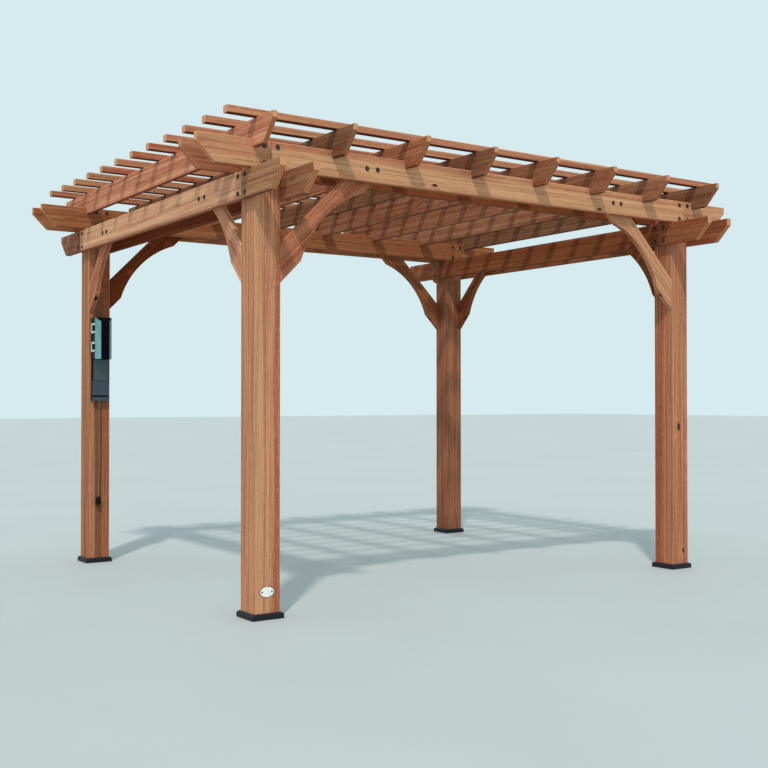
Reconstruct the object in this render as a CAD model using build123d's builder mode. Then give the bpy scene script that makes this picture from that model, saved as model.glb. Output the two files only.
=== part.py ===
from build123d import *
from math import pi, radians, sqrt, tan
import os

# A free-standing wooden pergola of the 12 by 10 foot size, in millimetres.
# X runs along the long front side, Y runs back, Z is up.
# The origin is on the ground, at the middle of the four posts.

# Sawn timber sections
post_side = 140
post_boards = 4
board_width = 133
board_thick = 35
rafter_thick = 29
slat_height = 35
slat_depth = 45

# Where the four posts stand, centre to centre
post_span_x = 2890
post_span_y = 2286

# Heights
side_beam_base = 2006
cross_beam_base = side_beam_base + board_width
cross_beam_top = cross_beam_base + board_width
rafter_notch = 39
rafter_base = cross_beam_top - rafter_notch
rafter_top = rafter_base + board_width
post_top_gap = 4
post_height = cross_beam_top - post_top_gap

# How far the ends run on past the post centres, and how they are cut
cross_tail = 385
side_tail = 382
tail_nose = 40
tail_run = board_width - tail_nose
rafter_tail = 299.5
rafter_length = post_span_y + 2 * rafter_tail
rafter_nose = 30
rafter_run = 97

# Roof
rafter_count = 8
rafter_gap_to_post = 1
slat_count = 12
slat_inset = 166.5
slat_pitch = (rafter_length - 2 * slat_inset) / (slat_count - 1)
slat_tail = 255
slat_length = post_span_x + 2 * slat_tail

# Eased timber edges and the grooves between the boards of a post
edge_ease = 5
post_ease = 4
slat_ease = 4
groove_depth = 1.5
groove_width = 3

# Clearances
notch_clearance = 1
skirt_clearance = 0.2
bolt_clearance = 1
splice_gap = 2

# Foot skirts
skirt_wall = 14.3
skirt_hole = post_side + 2 * skirt_clearance
skirt_side = skirt_hole + 2 * skirt_wall
skirt_height = 30
skirt_bevel = 8

# Curved braces, sawn from one board laid at 45 degrees
brace_drop = 402
brace_foot_z = side_beam_base - brace_drop
brace_board = 133
brace_arc_start = 116
brace_arc_past_beam = 87
brace_arc_end = brace_drop + brace_arc_past_beam
brace_arc_rise = 64
brace_screw_along = 87
brace_screw_floor = 58
brace_bolt_pitch = 64
brace_top_gap = 6

# Bolts
bolt_d = 10
bolt_hole_d = bolt_d + bolt_clearance
bolt_head_d = 19
bolt_head_h = 6
washer_d = 24
washer_h = 2
recess_d = washer_d + 2 * bolt_clearance
recess_depth = washer_h + bolt_clearance
splice_bolt_along = 36
splice_bolt_up = 42
lag_length = 70
lag_hole_depth = lag_length + 2 * bolt_clearance

# Power box on the front face of the back left post, under the foot of a brace
box_width = 108
box_depth = 27
box_gap_to_brace = 33
box_ease = 3
shroud_overhang = 1
shroud_width = box_width + 2 * shroud_overhang
shroud_height = 266
shroud_depth = 74
bezel_depth = 36
bezel_inset = 27
cover_gap = 3
cover_height = 134
cover_inset = 6
cover_proud = 5
panel_height = 91
panel_proud = 8
lip_gap = 12
lip_height = 24
outlet_height = 62
outlet_depth = 44
outlet_proud = 9
outlet_sink = outlet_proud / 2
outlet_wall = 6
outlet_corner = 3
outlet_gap_above = 38
outlet_gap_below = 47
outlet_stand_off = shroud_depth - outlet_depth / 2 - outlet_corner
gland_d = 18
gland_length = 16
gland_bevel = 4

# The box is stacked from the brace down: shroud, cover, panel, dark gap and lip
box_top = brace_foot_z - box_gap_to_brace
shroud_base = box_top - shroud_height
cover_top = shroud_base - cover_gap
panel_top = cover_top - cover_height - cover_gap
lip_top = panel_top - panel_height - lip_gap
box_base = lip_top - lip_height
outlet_centres = (
    box_top - outlet_gap_above - outlet_height / 2,
    shroud_base + outlet_gap_below + outlet_height / 2,
)

# Hanging power cord with its plug
cord_d = 8
cord_stand_off = 18
cord_left = 5
plug_d = 32
plug_length = 52
plug_neck_d = 18
plug_neck = 14
prong_length = 18
prong_width = 6.5
prong_thick = 1.6
prong_pitch = 12.7
cord_shift = [(0, 0), (0, 0), (1, -2), (1.5, -3), (0.5, -3), (-1.5, -2), (-4, -1)]
cord_drop = [0, 78, 176, 284, 392, 500, 598]

os.makedirs("parts", exist_ok=True)

half_x = post_span_x / 2
half_y = post_span_y / 2
half_post = post_side / 2
half_board = board_thick / 2
post_seams = [post_side * (i / post_boards - 1 / 2) for i in range(1, post_boards)]
corners = {
    "front_left": (-1, -1),
    "front_right": (1, -1),
    "back_left": (-1, 1),
    "back_right": (1, 1),
}


def side_bolt_points(post_y):
    """Give the (y, z) of the four bolts where a side beam is spliced at a post."""
    middle = side_beam_base + board_width / 2
    ups = (-splice_bolt_up, splice_bolt_up)
    alongs = (-splice_bolt_along, splice_bolt_along)
    return [(post_y + a, middle + u) for a in alongs for u in ups]


def cross_bolt_points(post_x):
    """Give the (x, z) of the four bolts where a cross beam is spliced at a post."""
    middle = cross_beam_base + board_width / 2
    ups = (-splice_bolt_up, splice_bolt_up)
    alongs = (-splice_bolt_along, splice_bolt_along)
    return [(post_x + a, middle + u) for a in alongs for u in ups]


def brace_bolt_offsets(base):
    """Give the two bolt distances from the post face for a beam with this underside."""
    middle = base + board_width / 2
    centre_line = brace_foot_z + brace_board / sqrt(2)
    along = middle - centre_line
    return [along - brace_bolt_pitch / 2, along + brace_bolt_pitch / 2]


def side_brace_bolts():
    """Give the (y, z) of the brace bolts in one side beam board."""
    middle = side_beam_base + board_width / 2
    inner = half_y - half_post
    offsets = brace_bolt_offsets(side_beam_base)
    return [(sign * (inner - o), middle) for sign in (-1, 1) for o in offsets]


def cross_brace_bolts():
    """Give the (x, z) of the brace bolts in one cross beam board."""
    middle = cross_beam_base + board_width / 2
    inner = half_x - half_post
    offsets = brace_bolt_offsets(cross_beam_base)
    return [(sign * (inner - o), middle) for sign in (-1, 1) for o in offsets]


# Posts: four boards glued face to face, seen as three grooves on each side face,
# with the holes of the eight bolts that carry the beams
for corner, (sx, sy) in corners.items():
    px = sx * half_x
    py = sy * half_y
    with BuildPart() as post:
        with BuildSketch(Plane.XY):
            with Locations((px, py)):
                Rectangle(post_side, post_side)
        extrude(amount=post_height)
        fillet(post.edges().filter_by(Axis.Z), post_ease)
        for face_x in (px - half_post, px + half_post):
            inward = 1 if face_x < px else -1
            for seam in post_seams:
                with BuildSketch(Plane.XY):
                    with BuildLine():
                        Polyline(
                            (face_x - inward, py + seam - groove_width),
                            (face_x + inward * groove_depth, py + seam),
                            (face_x - inward, py + seam + groove_width),
                            close=True,
                        )
                    make_face()
                extrude(amount=post_height, mode=Mode.SUBTRACT)
        with BuildSketch(Plane.YZ.offset(px)):
            with Locations(*side_bolt_points(py)):
                Circle(bolt_hole_d / 2)
        extrude(amount=post_side, both=True, mode=Mode.SUBTRACT)
        with BuildSketch(Plane.XZ.offset(-py)):
            with Locations(*cross_bolt_points(px)):
                Circle(bolt_hole_d / 2)
        extrude(amount=post_side, both=True, mode=Mode.SUBTRACT)
        screw_z = brace_foot_z + brace_screw_along
        with BuildSketch(Plane.YZ.offset(px - sx * half_post)):
            with Locations((py + sy * (half_post - half_board), screw_z)):
                Circle(bolt_d / 2)
        extrude(amount=sx * lag_hole_depth, mode=Mode.SUBTRACT)
        with BuildSketch(Plane.XZ.offset(-(py - sy * half_post))):
            with Locations((px + sx * (half_post - half_board), screw_z)):
                Circle(bolt_d / 2)
        extrude(amount=-sy * lag_hole_depth, mode=Mode.SUBTRACT)
    post.part.label = f"{corner}_post"
    export_step(post.part, f"parts/{corner}_post.step")

# Foot skirts: a square collar round each post, with a bevelled top
for corner, (sx, sy) in corners.items():
    with BuildPart() as skirt:
        with BuildSketch(Plane.XY):
            with Locations((sx * half_x, sy * half_y)):
                Rectangle(skirt_side, skirt_side)
                Rectangle(skirt_hole, skirt_hole, mode=Mode.SUBTRACT)
        extrude(amount=skirt_height)
        top_rim = skirt.faces().sort_by(Axis.Z)[-1].outer_wire().edges()
        chamfer(top_rim, skirt_bevel)
    skirt.part.label = f"{corner}_foot_skirt"
    export_step(skirt.part, f"parts/{corner}_foot_skirt.step")


def side_board_plane(side, layer):
    """Give the middle plane of a side beam board: left -1 or right 1, outer 1 or inner -1."""
    middle = side * (half_x + layer * (half_post + half_board))
    return Plane.YZ.offset(middle)


def cross_board_plane(side, layer):
    """Give the middle plane of a cross beam board: front -1 or back 1, outer 1 or inner -1."""
    middle = side * (half_y + layer * (half_post + half_board))
    return Plane.XZ.offset(-middle)


def bolt_seats(face_plane, points):
    """Make the cutter for the bolt holes of a board, with a flat recess for each washer."""
    with BuildPart() as seats:
        with BuildSketch(face_plane):
            with Locations(*points):
                Circle(bolt_hole_d / 2)
        extrude(amount=-board_thick)
        with BuildSketch(face_plane):
            with Locations(*points):
                Circle(recess_d / 2)
        extrude(amount=-recess_depth)
    return seats.part


def face_plane_yz(x, outward):
    """Give a plane at this x, facing outward along X, with local (y, z) kept."""
    return Plane(origin=(x, 0, 0), x_dir=(0, outward, 0), z_dir=(outward, 0, 0))


def face_plane_xz(y, outward):
    """Give a plane at this y, facing outward along Y, with z upward."""
    return Plane(origin=(0, y, 0), x_dir=(-outward, 0, 0), z_dir=(0, outward, 0))


# Side beams: a pair of boards on the left and right faces of the posts
for side_name, side in (("left", -1), ("right", 1)):
    for layer_name, layer in (("outer", 1), ("inner", -1)):
        out = side * layer
        face_x = side * half_x + out * (half_post + board_thick)
        seats = side_bolt_points(-half_y) + side_bolt_points(half_y)
        seats = [p for p in seats if abs(p[0]) < half_y]
        if layer == 1:
            seats = seats + side_brace_bolts()
        cutter = bolt_seats(face_plane_yz(face_x, out), [(out * y, z) for y, z in seats])
        with BuildPart() as board:
            with BuildSketch(side_board_plane(side, layer)):
                with Locations((0, side_beam_base + board_width / 2)):
                    Rectangle(post_span_y - splice_gap, board_width)
            extrude(amount=half_board, both=True)
            fillet(board.edges().filter_by(Axis.Y), edge_ease)
            add(cutter, mode=Mode.SUBTRACT)
        node = f"{side_name}_side_beam_{layer_name}"
        board.part.label = node
        export_step(board.part, f"parts/{node}.step")

# Side beam tails: the short end boards past the posts, cut back at 45 degrees
for side_name, side in (("left", -1), ("right", 1)):
    cutters = []
    for layer in (1, -1):
        out = side * layer
        face_x = side * half_x + out * (half_post + board_thick)
        seats = side_bolt_points(-half_y) + side_bolt_points(half_y)
        local = [(out * y, z) for y, z in seats if abs(y) > half_y]
        cutters.append(bolt_seats(face_plane_yz(face_x, out), local))
    with BuildPart() as tails:
        for layer in (1, -1):
            for end in (-1, 1):
                start = end * (half_y + splice_gap / 2)
                tip = end * (half_y + side_tail)
                with BuildSketch(side_board_plane(side, layer)):
                    with BuildLine():
                        Polyline(
                            (start, side_beam_base),
                            (tip - end * tail_run, side_beam_base),
                            (tip, side_beam_base + tail_run),
                            (tip, side_beam_base + board_width),
                            (start, side_beam_base + board_width),
                            close=True,
                        )
                    make_face()
                extrude(amount=half_board, both=True)
        fillet(tails.edges().filter_by(Axis.X, reverse=True), edge_ease)
        add(cutters, mode=Mode.SUBTRACT)
    node = f"{side_name}_side_beam_tails"
    tails.part.label = node
    export_step(tails.part, f"parts/{node}.step")

# Cross beams: a pair of boards on the front and back faces of the posts,
# lying on top of the side beams
for side_name, side in (("front", -1), ("back", 1)):
    for layer_name, layer in (("outer", 1), ("inner", -1)):
        out = side * layer
        face_y = side * half_y + out * (half_post + board_thick)
        seats = cross_bolt_points(-half_x) + cross_bolt_points(half_x)
        seats = [p for p in seats if abs(p[0]) < half_x]
        if layer == 1:
            seats = seats + cross_brace_bolts()
        cutter = bolt_seats(face_plane_xz(face_y, out), [(-out * x, z) for x, z in seats])
        with BuildPart() as board:
            with BuildSketch(cross_board_plane(side, layer)):
                with Locations((0, cross_beam_base + board_width / 2)):
                    Rectangle(post_span_x - splice_gap, board_width)
            extrude(amount=half_board, both=True)
            fillet(board.edges().filter_by(Axis.X), edge_ease)
            add(cutter, mode=Mode.SUBTRACT)
        node = f"{side_name}_cross_beam_{layer_name}"
        board.part.label = node
        export_step(board.part, f"parts/{node}.step")

# Cross beam tails
for side_name, side in (("front", -1), ("back", 1)):
    cutters = []
    for layer in (1, -1):
        out = side * layer
        face_y = side * half_y + out * (half_post + board_thick)
        seats = cross_bolt_points(-half_x) + cross_bolt_points(half_x)
        local = [(-out * x, z) for x, z in seats if abs(x) > half_x]
        cutters.append(bolt_seats(face_plane_xz(face_y, out), local))
    with BuildPart() as tails:
        for layer in (1, -1):
            for end in (-1, 1):
                start = end * (half_x + splice_gap / 2)
                tip = end * (half_x + cross_tail)
                with BuildSketch(cross_board_plane(side, layer)):
                    with BuildLine():
                        Polyline(
                            (start, cross_beam_base),
                            (tip - end * tail_run, cross_beam_base),
                            (tip, cross_beam_base + tail_run),
                            (tip, cross_beam_top),
                            (start, cross_beam_top),
                            close=True,
                        )
                    make_face()
                extrude(amount=half_board, both=True)
        fillet(tails.edges().filter_by(Axis.Y, reverse=True), edge_ease)
        add(cutters, mode=Mode.SUBTRACT)
    node = f"{side_name}_cross_beam_tails"
    tails.part.label = node
    export_step(tails.part, f"parts/{node}.step")


def brace_outline(sign, foot, top_z):
    """Draw a brace in (along, z), from the post face at foot, running along sign."""
    width = brace_board * sqrt(2)
    start = (foot + sign * brace_arc_start, brace_foot_z + brace_arc_start)
    end = (foot + sign * brace_arc_end, brace_foot_z + brace_arc_end)
    step = brace_arc_rise / sqrt(2)
    middle = (brace_arc_start + brace_arc_end) / 2
    crest = (foot + sign * (middle - step), brace_foot_z + middle + step)
    lower_end = (foot + sign * (top_z - brace_foot_z), top_z)
    upper_end = (foot + sign * (top_z - brace_foot_z - width), top_z)
    with BuildSketch() as outline:
        with BuildLine():
            Line((foot, brace_foot_z), start)
            ThreePointArc(start, crest, end)
            Line(end, lower_end)
            Line(lower_end, upper_end)
            Line(upper_end, (foot, brace_foot_z + width))
            Line((foot, brace_foot_z + width), (foot, brace_foot_z))
        make_face()
    return outline.sketch


# Braces: flush with the outer faces of the posts, bolted behind the outer beam boards
for corner, (sx, sy) in corners.items():
    px = sx * half_x
    py = sy * half_y
    screw_z = brace_foot_z + brace_screw_along
    plane_y = sy * (half_y + half_post - half_board)
    foot = px - sx * half_post
    outline = brace_outline(-sx, foot, cross_beam_top - brace_top_gap)
    with BuildPart() as brace:
        with BuildSketch(Plane.XZ.offset(-plane_y)):
            add(outline)
        extrude(amount=half_board, both=True)
        fillet(brace.edges().filter_by(Axis.Y, reverse=True), edge_ease)
        bolts = [p for p in cross_brace_bolts() if p[0] * sx > 0]
        with BuildSketch(Plane.XZ.offset(-plane_y)):
            with Locations(*bolts):
                Circle(bolt_hole_d / 2)
        extrude(amount=board_thick, both=True, mode=Mode.SUBTRACT)
        with BuildSketch(Plane.YZ.offset(foot)):
            with Locations((plane_y, screw_z)):
                Circle(bolt_hole_d / 2)
        extrude(amount=-sx * brace_board, mode=Mode.SUBTRACT)
        with BuildSketch(Plane.YZ.offset(foot - sx * brace_screw_floor)):
            with Locations((plane_y, screw_z)):
                Circle(recess_d / 2)
        extrude(amount=-sx * brace_board, mode=Mode.SUBTRACT)
    node = f"{corner}_cross_brace"
    brace.part.label = node
    export_step(brace.part, f"parts/{node}.step")

    plane_x = sx * (half_x + half_post - half_board)
    foot = py - sy * half_post
    outline = brace_outline(-sy, foot, cross_beam_base - brace_top_gap)
    with BuildPart() as brace:
        with BuildSketch(Plane.YZ.offset(plane_x)):
            add(outline)
        extrude(amount=half_board, both=True)
        fillet(brace.edges().filter_by(Axis.X, reverse=True), edge_ease)
        bolts = [p for p in side_brace_bolts() if p[0] * sy > 0]
        with BuildSketch(Plane.YZ.offset(plane_x)):
            with Locations(*bolts):
                Circle(bolt_hole_d / 2)
        extrude(amount=board_thick, both=True, mode=Mode.SUBTRACT)
        with BuildSketch(Plane.XZ.offset(-foot)):
            with Locations((plane_x, screw_z)):
                Circle(bolt_hole_d / 2)
        extrude(amount=sy * brace_board, mode=Mode.SUBTRACT)
        with BuildSketch(Plane.XZ.offset(-(foot - sy * brace_screw_floor))):
            with Locations((plane_x, screw_z)):
                Circle(recess_d / 2)
        extrude(amount=sy * brace_board, mode=Mode.SUBTRACT)
    node = f"{corner}_side_brace"
    brace.part.label = node
    export_step(brace.part, f"parts/{node}.step")

# Rafters: notched down over all four cross beam boards, with cut back ends
rafter_reach = half_x + half_post + rafter_gap_to_post + rafter_thick / 2
rafter_pitch = 2 * rafter_reach / (rafter_count - 1)
notch_width = board_thick + 2 * notch_clearance
notch_centres = [
    side * (half_y + layer * (half_post + half_board))
    for side in (-1, 1)
    for layer in (-1, 1)
]
for index in range(rafter_count):
    rafter_x = -rafter_reach + index * rafter_pitch
    tip = rafter_length / 2
    with BuildPart() as rafter:
        with BuildSketch(Plane.YZ.offset(rafter_x)):
            with BuildLine():
                Polyline(
                    (-tip + rafter_run, rafter_base),
                    (tip - rafter_run, rafter_base),
                    (tip, rafter_top - rafter_nose),
                    (tip, rafter_top),
                    (-tip, rafter_top),
                    (-tip, rafter_top - rafter_nose),
                    close=True,
                )
            make_face()
        extrude(amount=rafter_thick / 2, both=True)
        fillet(rafter.edges().filter_by(Axis.X, reverse=True), edge_ease)
        with BuildSketch(Plane.YZ.offset(rafter_x)):
            with Locations(*[(y, rafter_base) for y in notch_centres]):
                Rectangle(notch_width, 2 * rafter_notch)
        extrude(amount=rafter_thick, both=True, mode=Mode.SUBTRACT)
    node = f"rafter_{index + 1}"
    rafter.part.label = node
    export_step(rafter.part, f"parts/{node}.step")

# Roof slats: lying on the rafters, shared out over three nodes from the front to the back
slat_nodes = ("front_roof_slats", "middle_roof_slats", "back_roof_slats")
first_slat = -slat_pitch * (slat_count - 1) / 2
for group, node in enumerate(slat_nodes):
    indices = [i for i in range(slat_count) if i * len(slat_nodes) // slat_count == group]
    centres = [(first_slat + i * slat_pitch, rafter_top + slat_height / 2) for i in indices]
    with BuildPart() as slats:
        with BuildSketch(Plane.YZ):
            with Locations(*centres):
                Rectangle(slat_depth, slat_height)
        extrude(amount=slat_length / 2, both=True)
        fillet(slats.edges().filter_by(Axis.X), slat_ease)
    slats.part.label = node
    export_step(slats.part, f"parts/{node}.step")


def through_bolt(head_plane, grip):
    """Make a bolt on this head plane: washer and hexagon head outside, nut at the grip."""
    with BuildPart() as bolt:
        with BuildSketch(head_plane):
            Circle(bolt_d / 2)
        extrude(amount=-grip - washer_h - bolt_head_h)
        with BuildSketch(head_plane, head_plane.offset(-grip - washer_h)):
            Circle(washer_d / 2)
        extrude(amount=washer_h)
        with BuildSketch(head_plane.offset(washer_h)):
            RegularPolygon(bolt_head_d / 2, 6)
        extrude(amount=bolt_head_h)
        with BuildSketch(head_plane.offset(-grip - washer_h)):
            RegularPolygon(bolt_head_d / 2, 6)
        extrude(amount=-bolt_head_h)
    return bolt.part


def lag_screw(seat):
    """Make a lag screw on this seat plane: washer and hexagon head outside, shank inside."""
    with BuildPart() as screw:
        with BuildSketch(seat):
            Circle(bolt_d / 2)
        extrude(amount=-(brace_screw_floor + lag_length))
        with BuildSketch(seat):
            Circle(washer_d / 2)
        extrude(amount=washer_h)
        with BuildSketch(seat.offset(washer_h)):
            RegularPolygon(bolt_head_d / 2, 6)
        extrude(amount=bolt_head_h)
    return screw.part


# Beam bolts: through both boards of a beam and the post between them
beam_grip = post_side + 2 * (board_thick - recess_depth)
bolts = []
for sx, sy in corners.values():
    head_x = sx * (half_x + half_post + board_thick - recess_depth)
    for y, z in side_bolt_points(sy * half_y):
        bolts.append(through_bolt(Plane(origin=(head_x, y, z), z_dir=(sx, 0, 0)), beam_grip))
    head_y = sy * (half_y + half_post + board_thick - recess_depth)
    for x, z in cross_bolt_points(sx * half_x):
        bolts.append(through_bolt(Plane(origin=(x, head_y, z), z_dir=(0, sy, 0)), beam_grip))
with BuildPart() as beam_bolts:
    add(bolts)
beam_bolts.part.label = "beam_bolts"
export_step(beam_bolts.part, "parts/beam_bolts.step")

# Brace bolts, through an outer beam board and the brace behind it
brace_grip = 2 * board_thick - recess_depth
bolts = []
for side in (-1, 1):
    head_x = side * (half_x + half_post + board_thick - recess_depth)
    for y, z in side_brace_bolts():
        head = Plane(origin=(head_x, y, z), z_dir=(side, 0, 0))
        bolts.append(through_bolt(head, brace_grip))
    head_y = side * (half_y + half_post + board_thick - recess_depth)
    for x, z in cross_brace_bolts():
        head = Plane(origin=(x, head_y, z), z_dir=(0, side, 0))
        bolts.append(through_bolt(head, brace_grip))
with BuildPart() as brace_bolts:
    add(bolts)
brace_bolts.part.label = "brace_bolts"
export_step(brace_bolts.part, "parts/brace_bolts.step")

# Lag screws, from the brace feet into the posts
screws = []
screw_z = brace_foot_z + brace_screw_along
for sx, sy in corners.values():
    seat_x = sx * (half_x - half_post - brace_screw_floor)
    seat_y = sy * (half_y - half_post - brace_screw_floor)
    lane_x = sx * (half_x + half_post - half_board)
    lane_y = sy * (half_y + half_post - half_board)
    screws.append(lag_screw(Plane(origin=(seat_x, lane_y, screw_z), z_dir=(-sx, 0, 0))))
    screws.append(lag_screw(Plane(origin=(lane_x, seat_y, screw_z), z_dir=(0, -sy, 0))))
with BuildPart() as brace_screws:
    add(screws)
brace_screws.part.label = "brace_screws"
export_step(brace_screws.part, "parts/brace_screws.step")

# Power box on the back left post
wall_y = half_y - half_post
box_x = -half_x
body_front = wall_y - box_depth
shroud_front = wall_y - shroud_depth
with BuildPart() as power_box_body:
    with BuildSketch(Plane.XY.offset(box_base)):
        with Locations((box_x, wall_y - box_depth / 2)):
            Rectangle(box_width, box_depth)
    extrude(amount=shroud_base - box_base)
    fillet(power_box_body.edges().filter_by(Axis.Z).sort_by(Axis.Y)[:2], box_ease)
    with BuildSketch(Plane.XY.offset(shroud_base)):
        with Locations((box_x, wall_y - shroud_depth / 2)):
            Rectangle(shroud_width, shroud_depth)
    extrude(amount=box_top - shroud_base)
power_box_body.part.label = "power_box_body"
export_step(power_box_body.part, "parts/power_box_body.step")

# Its bezel: bevelled at the sides and the top, square at the bottom
with BuildPart() as power_box_bezel:
    with BuildSketch(Plane.XZ.offset(-shroud_front)):
        with Locations((box_x, (shroud_base + box_top) / 2)):
            Rectangle(shroud_width, box_top - shroud_base)
    front_height = box_top - shroud_base - bezel_inset
    with BuildSketch(Plane.XZ.offset(-(shroud_front - bezel_depth))):
        with Locations((box_x, shroud_base + front_height / 2)):
            Rectangle(shroud_width - 2 * bezel_inset, front_height)
    loft()
power_box_bezel.part.label = "power_box_bezel"
export_step(power_box_bezel.part, "parts/power_box_bezel.step")

# Outlet covers: a raised frame round a sunk socket face, on the left side of the housing
with BuildPart() as power_outlets:
    outlet_y = wall_y - outlet_stand_off
    face = face_plane_yz(box_x - shroud_width / 2, -1)
    spots = [(-outlet_y, z) for z in outlet_centres]
    with BuildSketch(face):
        with Locations(*spots):
            RectangleRounded(outlet_depth, outlet_height, outlet_corner)
    extrude(amount=outlet_proud)
    with BuildSketch(face.offset(outlet_proud)):
        with Locations(*spots):
            Rectangle(outlet_depth - 2 * outlet_wall, outlet_height - 2 * outlet_wall)
    extrude(amount=-outlet_sink, mode=Mode.SUBTRACT)
power_outlets.part.label = "power_outlets"
export_step(power_outlets.part, "parts/power_outlets.step")

# Smooth cover below the bezel
with BuildPart() as power_box_cover:
    with BuildSketch(Plane.XZ.offset(-body_front)):
        with Locations((box_x, cover_top - cover_height / 2)):
            RectangleRounded(box_width - 2 * cover_inset, cover_height, box_ease)
    extrude(amount=cover_proud)
power_box_cover.part.label = "power_box_cover"
export_step(power_box_cover.part, "parts/power_box_cover.step")

# Lower panel, and below a dark gap the lip of the box
with BuildPart() as power_box_panel:
    with BuildSketch(Plane.XZ.offset(-body_front)):
        with Locations((box_x, panel_top - panel_height / 2)):
            Rectangle(box_width, panel_height)
    extrude(amount=panel_proud)
    with BuildSketch(Plane.XZ.offset(-body_front)):
        with Locations((box_x, lip_top - lip_height / 2)):
            Rectangle(box_width, lip_height)
    extrude(amount=panel_proud)
power_box_panel.part.label = "power_box_panel"
export_step(power_box_panel.part, "parts/power_box_panel.step")

# Cord gland under the box, a little left of its middle
cord_x = box_x - cord_left
cord_y = wall_y - cord_stand_off
with BuildPart() as cord_gland:
    with BuildSketch(Plane.XY.offset(box_base)):
        with Locations((cord_x, cord_y)):
            Circle(gland_d / 2)
    extrude(amount=-gland_length)
    chamfer(cord_gland.edges().group_by(Axis.Z)[0], gland_bevel)
cord_gland.part.label = "cord_gland"
export_step(cord_gland.part, "parts/cord_gland.step")

# Power cord: straight runs joined by the largest arcs that they allow
cord_start_z = box_base - gland_length
route = [
    Vector(cord_x + dx, cord_y + dy, cord_start_z - drop)
    for (dx, dy), drop in zip(cord_shift, cord_drop)
]
runs = [b - a for a, b in zip(route, route[1:])]
radii = []
for before, after in zip(runs, runs[1:]):
    half_turn = radians(before.get_angle(after) / 2)
    radii.append(0.45 * min(before.length, after.length) / tan(half_turn))
print("cord radii", [round(r) for r in radii])
with BuildPart() as power_cord:
    with BuildLine() as cord_path:
        FilletPolyline(*route, radius=radii)
    with BuildSketch(Plane(origin=route[0], z_dir=runs[0])):
        Circle(cord_d / 2)
    sweep()
cord_length = cord_path.wire().length
print("cord length", round(cord_length), "volume", round(power_cord.part.volume))
print("section times length", round(pi * (cord_d / 2) ** 2 * cord_length))
power_cord.part.label = "power_cord"
export_step(power_cord.part, "parts/power_cord.step")

# Plug at the cord's free end
plug_top = Plane(origin=route[-1], z_dir=-runs[-1])
with BuildPart() as power_plug:
    with BuildSketch(plug_top):
        Circle(plug_neck_d / 2)
    with BuildSketch(plug_top.offset(-plug_neck)):
        Circle(plug_d / 2)
    loft()
    with BuildSketch(plug_top.offset(-plug_neck)):
        Circle(plug_d / 2)
    extrude(amount=-(plug_length - plug_neck))
    with BuildSketch(plug_top.offset(-plug_length)):
        with GridLocations(prong_pitch, 0, 2, 1):
            Rectangle(prong_thick, prong_width)
    extrude(amount=-prong_length)
power_plug.part.label = "power_plug"
export_step(power_plug.part, "parts/power_plug.step")
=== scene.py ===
"""Dress a free-standing cedar pergola: oiled boards, bolts, a power box and its hanging lead.

Lengths are in metres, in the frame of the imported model: +X to the right along the long
front side, +Y to the back, +Z up, with the origin on the ground between the four posts.
"""

import logging
import math
from collections.abc import Callable
from dataclasses import dataclass, field
from enum import Enum

import bpy
import numpy as np
from mathutils import Euler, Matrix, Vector


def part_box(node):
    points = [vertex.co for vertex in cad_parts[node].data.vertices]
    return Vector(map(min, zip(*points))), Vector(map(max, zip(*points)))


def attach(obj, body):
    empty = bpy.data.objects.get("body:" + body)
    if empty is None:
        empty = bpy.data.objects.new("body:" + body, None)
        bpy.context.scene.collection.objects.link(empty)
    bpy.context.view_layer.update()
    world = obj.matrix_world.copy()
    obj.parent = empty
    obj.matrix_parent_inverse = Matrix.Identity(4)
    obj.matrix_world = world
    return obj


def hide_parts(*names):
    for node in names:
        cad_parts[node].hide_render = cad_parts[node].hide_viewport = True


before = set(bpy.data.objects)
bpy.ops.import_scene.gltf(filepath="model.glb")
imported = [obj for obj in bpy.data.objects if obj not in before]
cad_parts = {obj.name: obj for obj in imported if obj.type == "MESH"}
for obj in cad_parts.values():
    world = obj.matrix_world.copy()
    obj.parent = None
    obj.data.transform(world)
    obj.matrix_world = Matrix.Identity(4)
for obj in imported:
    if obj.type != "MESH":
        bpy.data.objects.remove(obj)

LOG = logging.getLogger("pergola")
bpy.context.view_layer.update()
ROOT = "root"
CORNERS = ("front_left", "front_right", "back_left", "back_right")
SIDES = ("left_side", "right_side", "front_cross", "back_cross")

Colour = tuple[float, float, float, float]
Point = tuple[float, float, float]
Span = tuple[float, float]
Socket = bpy.types.NodeSocket
Material = bpy.types.Material
Piece = bpy.types.Object

X, Y, Z = (1, 0, 0), (0, 1, 0), (0, 0, 1)
HALF = math.sqrt(0.5)


def paint(red: float, green: float, blue: float) -> Colour:
    """Give a linear colour, by the sRGB curve, for a colour picked on a screen, 0 to 255."""
    shares = (red / 255, green / 255, blue / 255)
    return (*(s / 12.92 if s < 0.04045 else ((s + 0.055) / 1.055) ** 2.4 for s in shares), 1.0)


@dataclass(frozen=True)
class Tint:
    """A colour that shows where a noise goes from low to high, which may lie below low."""

    low: float
    high: float
    share: float
    colour: Colour


def arithmetic(operation: str, reflected: bool = False) -> Callable[..., "Value"]:
    """Make a method of Value that adds a Math node.

    Args:
        operation: What the node does.
        reflected: Whether the other number comes first, as in 1 - mask.

    Returns:
        The method.
    """

    def method(value: "Value", *others: "Value | float") -> "Value":
        """Add the node and wrap its output."""
        terms = (*others, value) if reflected else (value, *others)
        node = value.graph.node("ShaderNodeMath", {"operation": operation}, dict(enumerate(terms)))
        return Value(value.graph, node.outputs[0])

    return method


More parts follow.
